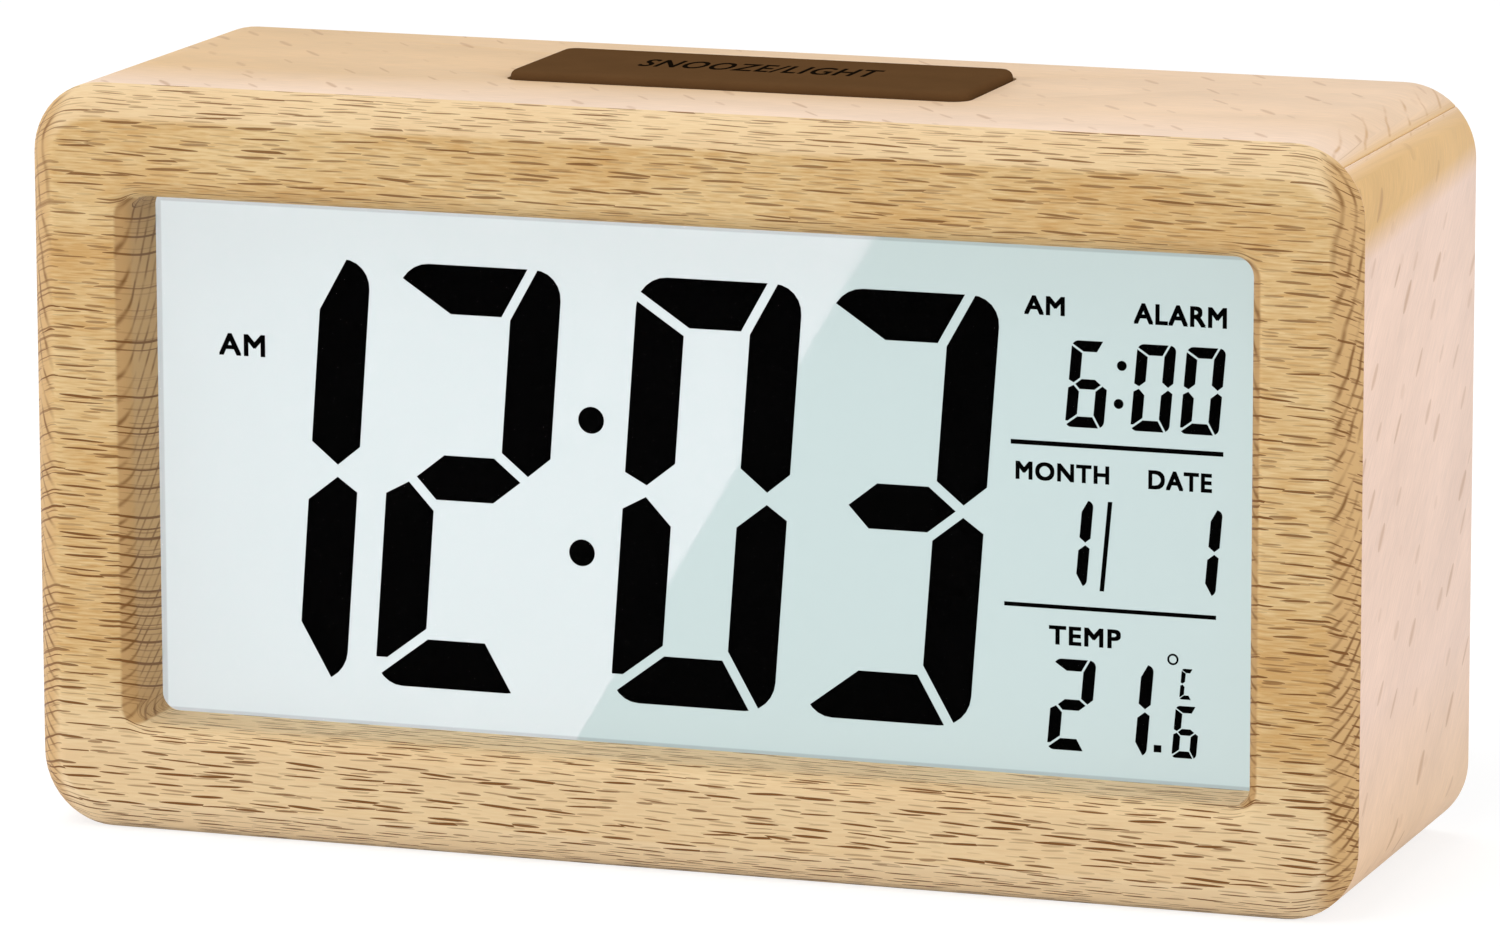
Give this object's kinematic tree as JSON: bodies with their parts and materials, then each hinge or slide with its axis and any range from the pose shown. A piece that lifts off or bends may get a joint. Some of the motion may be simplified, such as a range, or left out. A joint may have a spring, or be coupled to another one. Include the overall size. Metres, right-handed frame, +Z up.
{
  "type": "digital alarm clock",
  "caption": "Wooden table alarm clock with a liquid crystal display, a snooze bar on top, and a rear cover with keys, an alarm switch and a battery door.",
  "frame": {"origin": "middle of the underside, under the middle of the case", "axes": "+X to the right seen from the front, +Y from the front to the back, +Z up"},
  "size_m": [0.135, 0.043, 0.0753],
  "materials": {
    "beech_front": "oiled beech",
    "beech_boards": "oiled pale beech",
    "clear_lens": "polished",
    "display_film": "satin",
    "display_glass": "polished",
    "light_guide": "polished",
    "white_plastic": "moulded",
    "black_plastic": "moulded",
    "brown_plastic": "fine moulded texture",
    "cover_plastic": "fine moulded texture",
    "button_plastic": "moulded",
    "contact_rubber": "matte",
    "circuit_board": "solder resist",
    "plated_steel": "zinc plated",
    "spring_steel": "drawn wire",
    "brass": "rolled",
    "ceramic": "silvered ceramic",
    "cell_jacket": "shrink sleeve",
    "red_lead": "insulated wire",
    "black_lead": "insulated wire",
    "grey_lead": "insulated wire"
  },
  "bodies": {
    "case": {"front_frame": "beech_front", "top_board": "beech_boards", "bottom_board": "beech_boards", "left_board": "beech_boards", "right_board": "beech_boards", "corner_blocks": "beech_boards", "display_lens": "clear_lens", "front_polariser": "display_film", "front_glass": "display_glass", "rear_glass": "display_glass", "rear_polariser": "display_film", "light_guide": "light_guide", "light_reflector": "white_plastic", "backlight_lamps": "white_plastic", "contact_strip": "contact_rubber", "display_frame": "white_plastic", "main_board": "circuit_board", "chip_cover": "black_plastic", "clock_crystal": "plated_steel", "chip_parts": "black_plastic", "display_screws": "plated_steel", "snooze_bracket": "black_plastic", "bracket_screws": "plated_steel", "snooze_springs": "spring_steel", "snooze_switch_board": "circuit_board", "snooze_switch": "black_plastic", "rear_cover": "cover_plastic", "cover_screws": "plated_steel", "battery_cells": "cell_jacket", "battery_contacts": "plated_steel", "contact_springs": "spring_steel", "key_board": "circuit_board", "key_board_screws": "plated_steel", "key_switches": "black_plastic", "alarm_switch_base": "black_plastic", "buzzer_disc": "brass", "buzzer_ceramic": "ceramic", "temperature_sensor": "black_plastic", "battery_plus_lead": "red_lead", "battery_minus_lead": "black_lead", "key_ribbon": "grey_lead", "buzzer_leads": "red_lead", "snooze_leads": "grey_lead"},
    "snooze": {"snooze_bar": "brown_plastic", "snooze_plunger": "white_plastic"},
    "set_key": {"set_button": "button_plastic", "set_plunger": "white_plastic"},
    "alarm_key": {"alarm_button": "button_plastic", "alarm_plunger": "white_plastic"},
    "up_key": {"up_button": "button_plastic", "up_plunger": "white_plastic"},
    "down_key": {"down_button": "button_plastic", "down_plunger": "white_plastic"},
    "alarm_slider": {"alarm_switch_knob": "button_plastic"},
    "door": {"battery_door": "cover_plastic"}
  },
  "joints": [
    {"name": "snooze_press", "type": "slide", "parent": "case", "child": "snooze", "axis": [0, 0, -1], "range_m": [0, 0.0008], "stiffness_N_per_m": 1200, "springref_m": -0.0005, "deforming": ["snooze_springs"]},
    {"name": "set_press", "type": "slide", "parent": "case", "child": "set_key", "axis": [0, -1, 0], "range_m": [0, 0.0005], "stiffness_N_per_m": 1200, "springref_m": -0.0003},
    {"name": "alarm_press", "type": "slide", "parent": "case", "child": "alarm_key", "axis": [0, -1, 0], "range_m": [0, 0.0005], "stiffness_N_per_m": 1200, "springref_m": -0.0003},
    {"name": "up_press", "type": "slide", "parent": "case", "child": "up_key", "axis": [0, -1, 0], "range_m": [0, 0.0005], "stiffness_N_per_m": 1200, "springref_m": -0.0003},
    {"name": "down_press", "type": "slide", "parent": "case", "child": "down_key", "axis": [0, -1, 0], "range_m": [0, 0.0005], "stiffness_N_per_m": 1200, "springref_m": -0.0003},
    {"name": "alarm_slide", "type": "slide", "parent": "case", "child": "alarm_slider", "axis": [1, 0, 0], "range_m": [0, 0.004]},
    {"name": "battery_door_tip", "type": "hinge", "parent": "case", "child": "door", "pos_m": [0, 0.0191, 0.0097], "axis": [-1, 0, 0], "range_deg": [0, 75]}
  ]
}
